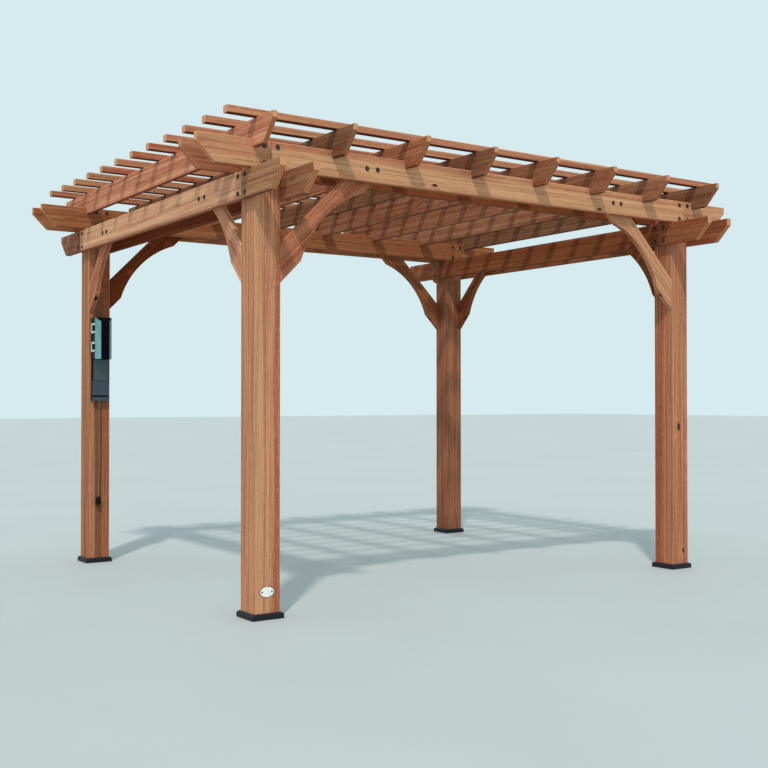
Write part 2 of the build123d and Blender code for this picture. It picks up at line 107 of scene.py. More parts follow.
class Value:
    """A number that varies over a surface: arithmetic on it adds Math nodes."""

    __add__ = __radd__ = arithmetic("ADD")
    __sub__ = arithmetic("SUBTRACT")
    __rsub__ = arithmetic("SUBTRACT", reflected=True)
    __mul__ = __rmul__ = arithmetic("MULTIPLY")
    __truediv__ = arithmetic("DIVIDE")
    __rpow__ = arithmetic("POWER", reflected=True)
    __abs__ = arithmetic("ABSOLUTE")
    floor = arithmetic("FLOOR")
    fract = arithmetic("FRACT")
    root = arithmetic("SQRT")
    least = arithmetic("MINIMUM")

    def __init__(self, graph: "Graph", socket: Socket) -> None:
        """Wrap one output socket of the graph."""
        self.graph = graph
        self.socket = socket

    def __neg__(self) -> "Value":
        """Change the sign."""
        return self * -1.0

    def rise(self, low: float, high: float) -> "Value":
        """Rise smoothly from 0 at low to 1 at high.

        Args:
            low: Where the rise starts.
            high: Where it ends; below low, it falls instead.

        Returns:
            The smooth step.
        """
        start, end = sorted((low, high))
        first, last = (0.0, 1.0) if low < high else (1.0, 0.0)
        node = self.graph.node(
            "ShaderNodeMapRange",
            {"interpolation_type": "SMOOTHSTEP"},
            {"Value": self, "From Min": start, "From Max": end, "To Min": first, "To Max": last},
        )
        return Value(self.graph, node.outputs[0])


Number = Value | float


class Graph:
    """The node tree of one material."""

    def __init__(self, name: str) -> None:
        """Start an empty material of this name."""
        self.material = bpy.data.materials.new(name)
        self.material.use_nodes = True
        self.tree = self.material.node_tree
        self.tree.nodes.clear()

    def node(self, kind: str, settings: dict | None = None, sockets: dict | None = None) -> bpy.types.Node:
        """Add a node.

        Args:
            kind: The node's type.
            settings: Its own properties, set first; "stops" fills a colour ramp.
            sockets: Values or links of its inputs, by name or number.

        Returns:
            The new node.
        """
        made = self.tree.nodes.new(kind)
        for key, value in (settings or {}).items():
            if key == "stops":
                ramp = made.color_ramp.elements
                while len(ramp) < len(value):
                    ramp.new(0.5)
                for element, (place, colour) in zip(ramp, value):
                    element.position, element.color = place, colour
            else:
                setattr(made, key, value)
        for key, value in (sockets or {}).items():
            self.feed(made.inputs[key], value)
        return made

    def feed(self, socket: Socket, value: object) -> None:
        """Link a socket to a value's output, or set the number or colour on it."""
        source = value.socket if isinstance(value, Value) else value
        if isinstance(source, Socket):
            self.tree.links.new(source, socket)
        else:
            socket.default_value = source

    def place(self) -> Socket:
        """Give the point on the surface, in the object's frame."""
        return self.node("ShaderNodeTexCoord").outputs["Object"]

    def facing(self) -> Socket:
        """Give the way that the surface faces, in the object's frame."""
        return self.node("ShaderNodeTexCoord").outputs["Normal"]

    def dot(self, vector: Socket, axis: Point) -> Value:
        """Measure a vector along an axis."""
        node = self.node("ShaderNodeVectorMath", {"operation": "DOT_PRODUCT"}, {0: vector, 1: axis})
        return Value(self, node.outputs["Value"])

    def join(self, x: Number, y: Number, z: Number) -> Socket:
        """Make a vector of three numbers."""
        return self.node("ShaderNodeCombineXYZ", {}, {0: x, 1: y, 2: z}).outputs[0]

    def noise(self, vector: Socket, detail: float, rough: float = 0.5) -> Value:
        """Give smooth noise from 0 to 1, with lumps about one unit apart."""
        sockets = {"Vector": vector, "Scale": 1.0, "Detail": detail, "Roughness": rough}
        return Value(self, self.node("ShaderNodeTexNoise", {}, sockets).outputs[0])

    def lumps(self, pitch: Point, detail: float, axes: tuple[Point, ...] = (X, Y, Z)) -> Value:
        """Give noise in the object's own space, pitch being its lumps in a metre along each axis."""
        place = self.place()
        return self.noise(self.join(*(self.dot(place, a) * p for a, p in zip(axes, pitch))), detail)

    def wander(self, number: Value) -> Value:
        """Give noise from 0 to 1 along a line."""
        settings = {"noise_dimensions": "1D"}
        node = self.node("ShaderNodeTexNoise", settings, {"W": number, "Scale": 1.0, "Detail": 1.0})
        return Value(self, node.outputs[0])

    def dice(self, number: Number) -> tuple[Value, Value, Value]:
        """Give three random numbers from 0 to 1 for a number."""
        node = self.node("ShaderNodeTexWhiteNoise", {"noise_dimensions": "1D"}, {"W": number})
        split = self.node("ShaderNodeSeparateColor", {}, {0: node.outputs["Color"]})
        return tuple(Value(self, out) for out in split.outputs)

    def mix(self, share: Number, first: object, second: object, blend: str = "MIX") -> Socket:
        """Mix two colours, with this share of the second, 0 to 1."""
        settings = {"data_type": "RGBA", "blend_type": blend}
        return self.node("ShaderNodeMix", settings, {0: share, 6: first, 7: second}).outputs[2]

    def tint(self, colour: object, noise: Value, tint: Tint) -> Socket:
        """Lay a tint over a colour, where its noise lets it show."""
        return self.mix(noise.rise(tint.low, tint.high) * tint.share, colour, tint.colour)

    def ramp(self, value: Value, stops: list[tuple[float, Colour]]) -> Socket:
        """Turn a number into a colour."""
        return self.node("ShaderNodeValToRGB", {"stops": stops}, {0: value}).outputs[0]

    def bump(self, height: Value, depth: float, strength: float) -> Socket:
        """Give the normal of a surface with this relief, depth metres high."""
        sockets = {"Height": height, "Distance": depth, "Strength": strength}
        return self.node("ShaderNodeBump", {}, sockets).outputs[0]

    def finish(self, sockets: dict) -> Material:
        """Close the tree with its surface shader.

        Args:
            sockets: Values or links of the shader's inputs.

        Returns:
            The finished material.
        """
        shader = self.node("ShaderNodeBsdfPrincipled", {}, sockets)
        self.node("ShaderNodeOutputMaterial", {}, {"Surface": shader.outputs[0]})
        return self.material


class Grain(Enum):
    """Which way a board lies: its length, its wide side and its thickness."""

    ALONG_X = (X, Z, Y)
    ALONG_Y = (Y, Z, X)
    UPRIGHT = (Z, X, Y)
    SLAT = (X, Y, Z)
    RISING_X = ((HALF, 0, HALF), (-HALF, 0, HALF), Y)
    FALLING_X = ((-HALF, 0, HALF), (HALF, 0, HALF), Y)
    RISING_Y = ((0, HALF, HALF), (0, -HALF, HALF), X)
    FALLING_Y = ((0, -HALF, HALF), (0, HALF, HALF), X)


class Seeds(Enum):
    """First seed and step of each kind of board, so that no two nodes draw alike."""

    POSTS = (3.1, 7.7)
    BEAMS = (101.3, 5.9)
    TAILS = (211.7, 9.1)
    BRACES = (307.9, 6.3)
    RAFTERS = (409.2, 8.7)
    SLATS = (503.6, 10.7)

    def at(self, index: int) -> float:
        """Give the seed of the node with this number."""
        first, step = self.value
        return first + index * step


class StainAndShading(Enum):
    """Factors on a board's red, green and blue: partly its own stain and tone, partly painted light and
    shade, paler where a board catches more light and darker where it lies in shade.
    """

    BRIGHTEST = (1.4, 1.55, 1.8)
    STRAW = (1.3, 1.4, 1.5)
    CORAL = (1.35, 1.2, 1.35)
    BRIGHTER = (1.2, 1.2, 1.3)
    ROSY = (1.1, 1.0, 1.05)
    PLAIN = (1.0, 1.0, 1.0)
    DIMMER = (0.85, 0.9, 0.95)
    DIM_WARM = (0.8, 0.72, 0.62)
    DIM_GREY = (0.58, 0.67, 0.7)
    DARK = (0.63, 0.52, 0.4)
    DEEP = (0.5, 0.3, 0.17)


class Shade(Enum):
    """What the shade does to red, green and blue on the undersides."""

    BEAM = (0.66, 0.55, 0.47)
    RAFTER = (0.4, 0.3, 0.25)
    SLAT = (0.25, 0.17, 0.14)


@dataclass(frozen=True)
class Look:
    """The tone of a node's boards, 0 pale gold to 1 red brown, and their stain and painted light and
    shade.
    """

    tone: float
    stain_and_shading: StainAndShading


@dataclass(frozen=True)
class Knot:
    """A knot in a board, where the rings flow round a dark core.

    Attributes:
        along: Where it is along the grain.
        across: Where it is on the wide side.
        size: The radius that it disturbs.
        eye: Half the width of its dark eye, which is twice as long.
    """

    along: float
    across: float
    size: float
    eye: float


@dataclass(frozen=True)
class Stripe:
    """A band of another tone along a board, which painted shade may also darken.

    Attributes:
        across: Its middle line on the wide side.
        half: Half of its width.
        shift: How far its tone is moved, negative for paler.
        axis: 1 to measure across the wide side, 2 through the boards, 0 along them.
        painted_shade: How much painted shade darkens it, 0 to 1.
    """

    across: float
    half: float
    shift: float
    axis: int = 1
    painted_shade: float = 0.0


@dataclass(frozen=True)
class Board:
    """How the boards of one node lie.

    Attributes:
        grain: The way of the grain.
        middle: The node's middle, for the axes that hold one board.
        seed: A number of its own, for the draws.
        look: Its tone, and its stain and painted light and shade.
        spread: How much the tone differs from board to board.
        cells: Axis number, start and step of each row of boards.
        knots: Its knots.
        stripes: Its bands of another tone.
        wear: How much painted highlight pales its eased edges, 0 to 1.
        variety: How much its tone changes from band to band.
        streaks: How strong its dark streaks are.
        under: The shade on its underside.
        red_cut: How much redder its slanting cuts are, 0 to 1.
    """

    grain: Grain
    middle: Point
    seed: float
    look: Look
    spread: float = 0.0
    cells: tuple[tuple[int, float, float], ...] = ()
    knots: tuple[Knot, ...] = ()
    stripes: tuple[Stripe, ...] = ()
    wear: float = 0.3
    variety: float = 1.5
    streaks: float = 0.68
    under: Shade = Shade.BEAM
    red_cut: float = 0.0


@dataclass(frozen=True)
class Lay:
    """The shaded point's place in its node and in its board, and the board's random numbers."""

    spots: list[Value]
    line: Value
    across: Value
    through: Value
    draws: tuple[Value, Value, Value]


@dataclass(frozen=True)
class Weave:
    """A noise that is drawn out along the grain: its lumps in a metre along and across it."""

    along: float
    across: float
    detail: float = 1.0
    rough: float = 0.5

    def over(self, g: Graph, lay: Lay) -> Value:
        """Give the noise at the shaded point, 0 to 1."""
        spots = (lay.line * self.along, lay.across * self.across, lay.through * self.across)
        return g.noise(g.join(*spots), self.detail, self.rough)


@dataclass(frozen=True)
class Rings:
    """Rings round the pith, a gap apart, which darken from start to full and drop back after drop.

    These three are shares of a ring. Noise moves the rings by its difference from the level.
    """

    gap: float
    noise: float
    start: float
    full: float
    drop: float
    level: float = 0.5

    def over(self, radius: Value, figure: Value) -> Value:
        """Give the darkness, 0 to 1: the fraction of radius / gap + noise, shaped by the shares."""
        ring = (radius / self.gap + (figure - self.level) * self.noise).fract()
        return ring.rise(self.start, self.full) * ring.rise(1.0, self.drop)


@dataclass(frozen=True)
class Cedar:
    """Oiled cedar, cut from the log: rings round a pith, fibres, bands and bare end grain."""

    gold: Colour = paint(189, 138, 97)
    rose: Colour = paint(172, 111, 80)
    ember: Colour = paint(158, 88, 59)
    umber: Colour = paint(102, 55, 36)
    honey: Colour = paint(211, 152, 113)
    core: Colour = paint(28, 19, 15)
    cut: Colour = paint(222, 144, 98)
    fresh: Colour = paint(228, 168, 130)

    # Rings of growth, broad bands of redder ones, and those that show on bare ends.
    late_wood: Rings = Rings(0.0062, 1.1, 0.3, 0.9, 0.93)
    growth: Rings = Rings(0.0062 * 3.7, 0.5, 0.2, 0.75, 0.8, level=0.0)
    end_rings: Rings = Rings(0.0105, 0.3, 0.4, 0.8, 0.9)

    # How far the pith may lie behind the board and aside of it, and how far it wanders there.
    pith_depth: float = 0.05
    pith_range: float = 0.12
    pith_aside: float = 0.09
    cathedral: float = 0.05
    sway_pitch: float = 0.9
    lean: float = 0.4
    shiver: float = 0.006
    shiver_pitch: float = 6.0
    shiver_start: float = 40.0

    # How far boards may be shifted along the grain, and what each cell adds to the seed.
    apart: float = 37.0
    cell_weights: Span = (1.7, 5.3)

    # How much longer than wide a knot is, how far it pushes the rings, how ragged stripes are.
    knot_long: float = 2.2
    knot_push: float = 1.3
    ragged: float = 0.012

    figure: Weave = Weave(2.0, 55.0, 3.0)
    fibre: Weave = Weave(9.0, 420.0, 2.0)
    streak: Weave = Weave(1.2, 110.0, 3.0, 0.65)
    band: Weave = Weave(0.35, 34.0, 1.5)
    patch: Weave = Weave(3.5, 9.0)
    fleck: Weave = Weave(26.0, 230.0)
    ray: Weave = Weave(210.0, 34.0)

    # What fibres, streaks, flecks and rays lay over the colour, in this order.
    tints: tuple[tuple[Tint, ...], ...] = (
        (Tint(0.45, 0.85, 0.3, umber),),
        (Tint(0.49, 0.26, 0.55, honey),),
        (Tint(0.6, 0.73, 0.5, honey), Tint(0.38, 0.27, 0.3, umber)),
        (Tint(0.6, 0.72, 0.16, honey),),
    )

    # The normal's share where a kind of face starts to show, and where it shows in full.
    end_face: Span = (0.5, 0.66)
    square_face: Span = (0.8, 0.93)
    edge_face: Span = (0.12, 0.5)
    under_face: Span = (-0.62, -0.85)

    end_share: float = 0.75
    relief: float = 0.0007
    gloss: float = 0.66
    shine: float = 0.06

    def lay(self, g: Graph, board: Board) -> Lay:
        """Find where the shaded point lies in its board, and draw the board's numbers.

        A cell's number = the whole part of (place - start) / step, and the draw's seed =
        the node's seed + each cell's number x its weight.

        Args:
            g: The material's graph.
            board: How the boards lie.

        Returns:
            The place and the draws.
        """
        place = g.place()
        axes = board.grain.value
        spots = [g.dot(place, axis) for axis in axes]
        centres = [sum(a * m for a, m in zip(axis, board.middle)) for axis in axes]
        local = [spots[0], spots[1] - centres[1], spots[2] - centres[2]]
        number: Number = board.seed
        for weight, (index, start, step) in zip(self.cell_weights, board.cells):
            cell = ((spots[index] - start) / step).floor()
            number = cell * weight + number
            if index:
                local[index] = spots[index] - (cell + 0.5) * step - start
        draws = g.dice(number)
        return Lay(spots, local[0] + draws[0] * self.apart, local[1], local[2], draws)

    def log(self, g: Graph, lay: Lay, board: Board) -> tuple[Value, Number]:
        """Find the point's distance from the pith, and the eyes of the knots.

        Distance = root of side squared + depth squared, from a pith that wanders along the
        board; a knot adds its push x e to the power of minus its distance squared.

        Args:
            g: The material's graph.
            lay: Where the point lies.
            board: How the boards lie.

        Returns:
            The distance, and how much a knot's eye covers, 0 to 1.
        """
        sway = (g.wander(lay.line * self.sway_pitch) - 0.5) * self.cathedral
        shiver = g.wander(lay.line * self.shiver_pitch + self.shiver_start) - 0.5
        side = lay.across - (lay.draws[0] - 0.5) * self.pith_aside + sway
        behind = lay.through + lay.draws[1] * self.pith_range + self.pith_depth
        depth = behind + shiver * self.shiver + sway * self.lean
        radius = (side * side + depth * depth).root()
        eyes: Number = 0.0
        for knot in board.knots:
            ahead, aside = lay.spots[0] - knot.along, lay.spots[1] - knot.across
            run, climb = ahead / (self.knot_long * knot.size), aside / knot.size
            radius = radius + math.e ** (-(run * run + climb * climb)) * (self.knot_push * knot.size)
            out = abs(aside) / knot.eye
            close = abs(ahead) / (2.0 * knot.eye) + out * out
            eyes = close.rise(1.1, 0.85) * (close.rise(0.15, 0.4) * 0.22 + 0.76) + eyes
        return radius, eyes

    def tone(self, g: Graph, lay: Lay, board: Board, growth: Value, streak: Value) -> tuple[Value, Number]:
        """Work out the tone: the board's own + its draw + bands + growth + its stripes.

        Args:
            g: The material's graph.
            lay: Where the point lies.
            board: How the boards lie.
            growth: The broad bands of rings.
            streak: The streaks, for ragged stripes.

        Returns:
            The tone, 0 gold to 1 red brown, and how much painted shade the stripes lay on it.
        """
        band = self.band.over(g, lay)
        tone = (lay.draws[2] - 0.5) * board.spread + board.look.tone + (band - 0.5) * board.variety
        tone = tone + (growth - 0.35) * 0.3
        painted_shade: Number = 0.0
        for stripe in board.stripes:
            edge = abs(lay.spots[stripe.axis] - stripe.across + (streak - 0.5) * self.ragged)
            inside = edge.rise(stripe.half * 1.3, stripe.half * 0.5)
            tone = inside * stripe.shift + tone
            painted_shade = inside * stripe.painted_shade + painted_shade
        return tone, painted_shade

    def material(self, name: str, board: Board) -> Material:
        """Make the finish of one node's boards.

        Args:
            name: The material's name.
            board: How the boards lie.

        Returns:
            The material.
        """
        g = Graph(name)
        lay = self.lay(g, board)
        radius, eyes = self.log(g, lay, board)
        figure, fibre, streak = (w.over(g, lay) for w in (self.figure, self.fibre, self.streak))
        patch, fleck, ray = (w.over(g, lay) for w in (self.patch, self.fleck, self.ray))
        late = self.late_wood.over(radius, figure)
        tone, painted_shade = self.tone(g, lay, board, self.growth.over(radius, figure), streak)
        colour = g.ramp(tone, [(0.0, self.gold), (0.5, self.rose), (1.0, self.ember)])
        colour = g.mix(late * (patch.rise(0.3, 0.75) * 0.26 + 0.1), colour, self.umber)
        colour = g.tint(colour, streak, Tint(0.49, 0.74, board.streaks, self.umber))
        for noise, tints in zip((fibre, streak, fleck, ray), self.tints):
            for tint in tints:
                colour = g.tint(colour, noise, tint)
        facing = g.facing()
        tilt, wide, narrow = (abs(g.dot(facing, axis)) for axis in board.grain.value)
        # Painted highlight: eased edges are paled toward honey.
        colour = g.mix(wide.least(narrow).rise(*self.edge_face) * board.wear, colour, self.honey)
        # Each board's stain and painted light and shade: a factor on red, green and blue.
        colour = g.mix(1.0, colour, (*board.look.stain_and_shading.value, 1.0), "MULTIPLY")
        dark = self.end_rings.over(radius, figure)
        # Slanting cuts show end grain in its own colour, also painted paler to stand in for the bounce
        # light that they catch.
        slanting = g.mix(board.red_cut, g.mix(dark * 0.75, self.cut, self.umber), self.ember)
        square = g.mix(dark * 0.6, self.fresh, self.ember)
        ends = g.mix(tilt.rise(*self.square_face), slanting, square)
        colour = g.mix(tilt.rise(*self.end_face) * self.end_share, colour, ends)
        below = g.dot(facing, Z).rise(*self.under_face) * tilt.rise(*self.end_face[::-1])
        colour = g.mix(below, colour, (*board.under.value, 1.0), "MULTIPLY")
        if board.stripes:
            # Painted shade from the stripes, toward the dark core colour.
            colour = g.mix(painted_shade, colour, self.core)
        if board.knots:
            colour = g.mix(eyes, colour, self.core)
        height = fibre * 0.35 + late * 0.4 + streak * 0.25
        return g.finish(
            {
                "Base Color": colour,
                "Roughness": streak * 0.14 + late * 0.06 + self.gloss,
                "Normal": g.bump(height, self.relief, 0.6),
                "Specular IOR Level": self.shine,
            }
        )


@dataclass(frozen=True)
class Metal:
    """Dark coated steel, rubbed where a spanner has been."""

    body: Colour = paint(58, 55, 51)
    rub: Colour = paint(88, 83, 76)
    metallic: float = 0.35
    gloss: float = 0.5
    fine_pitch: Point = (900.0, 900.0, 900.0)
    rub_pitch: Point = (120.0, 120.0, 120.0)
    grain: float = 0.0001

    def material(self, name: str) -> Material:
        """Make the finish under this name."""
        g = Graph(name)
        fine = g.lumps(self.fine_pitch, 3.0, Grain.ALONG_X.value)
        broad = g.lumps(self.rub_pitch, 2.0, Grain.ALONG_X.value)
        return g.finish(
            {
                "Base Color": g.tint(self.body, broad, Tint(0.45, 0.7, 0.6, self.rub)),
                "Metallic": self.metallic,
                "Roughness": fine * 0.2 + self.gloss,
                "Normal": g.bump(fine, self.grain, 0.5),
            }
        )


@dataclass(frozen=True)
class Plastic:
    """Moulded plastic with a fine grain and patches of dust."""

    body: Colour
    dust: Colour
    dusty: float = 0.2
    gloss: float = 0.4
    grain: float = 0.00008
    shine: float = 0.3
    pitch: Point = (1400.0, 1400.0, 1400.0)
    dust_pitch: Point = (38.0, 38.0, 38.0)

    def material(self, name: str, coat: float = 0.0) -> Material:
        """Make the finish under this name.

        Args:
            name: The material's name.
            coat: Weight of a clear gloss coat.

        Returns:
            The material.
        """
        g = Graph(name)
        fine = g.lumps(self.pitch, 2.0)
        share = g.lumps(self.dust_pitch, 3.0).rise(0.42, 0.75) * self.dusty
        return g.finish(
            {
                "Base Color": g.mix(share, self.body, self.dust),
                "Roughness": share * 0.5 + fine * 0.08 + self.gloss,
                "Normal": g.bump(fine, self.grain, 0.6),
                "Coat Weight": coat,
                "Specular IOR Level": self.shine,
            }
        )


@dataclass(frozen=True)
class Bezel:
    """The black glossy bezel of the power box, with a painted reflection, pale blue, on its side bevels.
    """

    black: Colour = paint(3, 3, 4)
    pale: Colour = paint(118, 164, 170)
    shade: Colour = paint(72, 122, 134)
    side_face: Span = (0.3, 0.6)
    slant_face: Span = (0.02, 0.2)
    cloud_pitch: Point = (30.0, 30.0, 9.0)
    fine_pitch: Point = (1500.0, 1500.0, 1500.0)
    grain: float = 0.00004
    gloss: float = 0.2
    shine: float = 0.06

    def material(self, name: str) -> Material:
        """Make the finish; the side bevels, which carry the painted reflection, are told by the way that
        they face.
        """
        g = Graph(name)
        facing = g.facing()
        side = abs(g.dot(facing, X)).rise(*self.side_face)
        bevel = side * abs(g.dot(facing, Y)).rise(*self.slant_face)
        cloud = g.lumps(self.cloud_pitch, 2.0)
        # Painted reflection: a pale blue clouded with a deeper blue.
        pale = g.tint(self.pale, cloud, Tint(0.3, 0.7, 0.5, self.shade))
        fine = g.lumps(self.fine_pitch, 2.0, Grain.ALONG_X.value)
        return g.finish(
            {
                "Base Color": g.mix(bevel, self.black, pale),
                "Roughness": bevel * 0.12 + fine * 0.05 + self.gloss,
                "Normal": g.bump(fine, self.grain, 0.4),
                "Specular IOR Level": self.shine,
            }
        )


def placed(name: str, data: bpy.types.ID) -> Piece:
    """Make an object that holds this data, and put it in the scene."""
    made = bpy.data.objects.new(name, data)
    bpy.context.scene.collection.objects.link(made)
    return made


def grid_mesh(name: str, points: np.ndarray, closed_u: bool, caps: bool, closed_v: bool = False) -> Piece:
    """Make an object from a grid of points, its rows joined into quads.

    Face (i, j) joins points (i, j), (i, j + 1), (i + 1, j + 1) and (i + 1, j).

    Args:
        name: The piece's name.
        points: Rows by columns by 3 numbers.
        closed_u: Whether the last column joins the first.
        caps: Whether the first and last rows are filled by one face each.
        closed_v: Whether the last row joins the first.

    Returns:
        The new object, in the scene.
    """
    rows, columns = points.shape[:2]
    index = np.arange(rows * columns).reshape(rows, columns)
    if closed_v:
        index = np.concatenate([index, index[:1]])
    right = np.roll(index, -1, axis=1) if closed_u else index[:, 1:]
    here = index if closed_u else index[:, :-1]
    faces = np.stack([here[:-1], right[:-1], right[1:], here[1:]], axis=-1).reshape(-1, 4).tolist()
    if caps:
        faces += [index[0][::-1].tolist(), index[-1].tolist()]
    mesh = bpy.data.meshes.new(name)
    mesh.from_pydata(points.reshape(-1, 3).tolist(), [], faces)
    mesh.validate()
    mesh.polygons.foreach_set("use_smooth", [True] * len(mesh.polygons))
    return placed(name, mesh)


def turned(name: str, profile: np.ndarray, centre: Point, axis: int, sides: int = 32) -> Piece:
    """Turn a profile round an axis: point = centre + along on the axis + radius (cos a, sin a).

    Args:
        name: The piece's name.
        profile: Rows of (radius, along), with along rising.
        centre: Where the axis starts.
        axis: 1 for Y or 2 for Z.
        sides: Number of points round.

    Returns:
        The closed piece, facing outwards.
    """
    angle = np.linspace(0, 2 * np.pi, sides, endpoint=False)
    radius, along = profile[:, :1], profile[:, 1:2]
    flat = [radius * np.cos(angle), radius * np.sin(angle)]
    flat.insert(axis, along + np.zeros_like(flat[0]))
    points = np.stack(flat, axis=-1) + np.array(centre)
    if axis == 1:
        points = points[:, ::-1]
    return grid_mesh(name, points, closed_u=True, caps=True)


def ready(piece: Piece, material: Material) -> Piece:
    """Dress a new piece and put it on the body."""
    piece.data.materials.append(material)
    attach(piece, ROOT)
    LOG.info("made %s", piece.name)
    return piece


def dress(node: str, material: Material) -> None:
    """Give a node of the model its material."""
    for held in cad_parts[node].material_slots:
        held.material = material
    LOG.info("dressed %s", node)


@dataclass
class Timber:
    """Posts, beams, tails, braces, rafters and slats."""

    cedar: Cedar = Cedar()
    post_y: float = 1.143
    post_side: float = 0.140
    post_boards: int = 4
    board_thick: float = 0.035
    board_width: float = 0.133
    slat_pitch: float = 0.232
    rafters: int = 8
    far: float = 4.0  # longer than any piece
    looks: dict[str, Look] = field(
        default_factory=lambda: {
            "front_left_post": Look(0.4, StainAndShading.BRIGHTER),
            "front_right_post": Look(0.7, StainAndShading.ROSY),
            "back_left_post": Look(0.6, StainAndShading.PLAIN),
            "back_right_post": Look(0.6, StainAndShading.DIMMER),
            "left_side_beam_outer": Look(0.1, StainAndShading.BRIGHTEST),
            "left_side_beam_inner": Look(0.7, StainAndShading.DEEP),
            "right_side_beam_outer": Look(0.5, StainAndShading.DARK),
            "right_side_beam_inner": Look(0.8, StainAndShading.DARK),
            "front_cross_beam_outer": Look(0.1, StainAndShading.STRAW),
            "front_cross_beam_inner": Look(0.6, StainAndShading.DARK),
            "back_cross_beam_outer": Look(0.5, StainAndShading.DIM_WARM),
            "back_cross_beam_inner": Look(0.7, StainAndShading.DIM_WARM),
            "left_side_beam_tails": Look(0.5, StainAndShading.DIMMER),
            "right_side_beam_tails": Look(0.8, StainAndShading.DIM_WARM),
            "front_cross_beam_tails": Look(0.1, StainAndShading.BRIGHTER),
            "back_cross_beam_tails": Look(0.5, StainAndShading.DIM_WARM),
            "front_left_cross_brace": Look(0.6, StainAndShading.ROSY),
            "front_right_cross_brace": Look(0.2, StainAndShading.BRIGHTER),
            "back_left_cross_brace": Look(0.6, StainAndShading.DEEP),
            "back_right_cross_brace": Look(0.6, StainAndShading.DIM_WARM),
            "front_left_side_brace": Look(0.3, StainAndShading.BRIGHTEST),
            "front_right_side_brace": Look(0.5, StainAndShading.DARK),
            "back_left_side_brace": Look(0.5, StainAndShading.ROSY),
            "back_right_side_brace": Look(0.6, StainAndShading.DARK),
            "rafter_1": Look(0.4, StainAndShading.CORAL),
            "rafter_2": Look(0.6, StainAndShading.DIM_GREY),
            "rafter_3": Look(0.7, StainAndShading.PLAIN),
            "rafter_4": Look(0.7, StainAndShading.DIM_GREY),
            "rafter_5": Look(0.7, StainAndShading.DIMMER),
            "rafter_6": Look(0.8, StainAndShading.DIMMER),
            "rafter_7": Look(0.6, StainAndShading.DIMMER),
            "rafter_8": Look(0.6, StainAndShading.DIM_GREY),
            "front_roof_slats": Look(0.6, StainAndShading.BRIGHTER),
            "middle_roof_slats": Look(0.6, StainAndShading.BRIGHTER),
            "back_roof_slats": Look(0.5, StainAndShading.PLAIN),
        }
    )
    extras: dict[str, dict[str, object]] = field(
        default_factory=lambda: {
            "front_left_post": dict(
                stripes=(Stripe(-1.483, 0.018, -0.75), Stripe(-1.395, 0.02, 0.45)),
                streaks=0.52,
            ),
            "front_right_post": dict(
                knots=(Knot(0.877, 1.434, 0.034, 0.013), Knot(0.11, 1.472, 0.02, 0.009)),
            ),
            "back_left_post": dict(
                # The dark band on the front of this post is painted shade.
                stripes=(Stripe(-1.446, 0.03, 0.2, painted_shade=0.42), Stripe(-1.393, 0.024, 0.7)),
            ),
            "front_cross_beam_outer": dict(
                # The two knots on this beam stand for small holes: their dark eyes are painted shade in
                # place of the holes.
                knots=(Knot(-0.476, 2.166, 0.024, 0.0088), Knot(0.723, 2.156, 0.024, 0.0088)),
                stripes=(Stripe(2.252, 0.016, 0.42), Stripe(2.139, 0.011, 0.4)),
                streaks=0.42,
                variety=1.2,
            ),
            "left_side_beam_outer": dict(stripes=(Stripe(2.012, 0.010, 0.4),), streaks=0.55, variety=0.7),
        }
    )

    def middle(self, node: str) -> Point:
        """Give the middle of a node's box."""
        low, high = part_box(node)
        return tuple((a + b) / 2 for a, b in zip(low, high))

    def board(self, node: str, grain: Grain, seed: float, **layout: object) -> None:
        """Dress one node with cedar.

        Args:
            node: Its name.
            grain: The way of its grain.
            seed: A number of its own.
            layout: What else is known of its boards.
        """
        known = {"middle": self.middle(node)} | self.extras.get(node, {}) | layout
        board = Board(grain=grain, seed=seed, look=self.looks[node], **known)
        dress(node, self.cedar.material(node, board))

    def posts(self) -> None:
        """Dress the posts: four boards each, glued face to face."""
        thick = self.post_side / self.post_boards
        for index, corner in enumerate(CORNERS):
            node = f"{corner}_post"
            row = (2, self.middle(node)[1] - self.post_side / 2, thick)
            self.board(node, Grain.UPRIGHT, Seeds.POSTS.at(index), spread=0.8, cells=(row,), wear=0.0)

    def beams(self) -> None:
        """Dress the main boards of the beams."""
        nodes = [f"{side}_beam_{layer}" for side in SIDES for layer in ("outer", "inner")]
        for index, node in enumerate(nodes):
            grain = Grain.ALONG_Y if "side" in node else Grain.ALONG_X
            self.board(node, grain, Seeds.BEAMS.at(index))

    def tails(self) -> None:
        """Dress the beam tails: two layers and two ends to a node."""
        layer = self.post_side + self.board_thick
        # Painted shade: a redder, darker band on the inner layer of the front tails and on the back ends
        # of the left tails.
        bands = {
            "front_cross": (Stripe(-self.post_y + layer / 2, self.board_thick, 0.55, axis=2, painted_shade=0.16),),
            "left_side": (Stripe(self.post_y, 0.45, 0.25, axis=0, painted_shade=0.14),),
        }
        for index, side in enumerate(SIDES):
            node = f"{side}_beam_tails"
            grain, across = (Grain.ALONG_Y, 0) if "side" in side else (Grain.ALONG_X, 1)
            layers = (2, self.middle(node)[across] - layer, layer)
            ends = (0, -self.far, self.far)
            self.board(
                node,
                grain,
                Seeds.TAILS.at(index),
                spread=0.3,
                wear=0.6,
                cells=(layers, ends),
                stripes=bands.get(side, ()),
            )

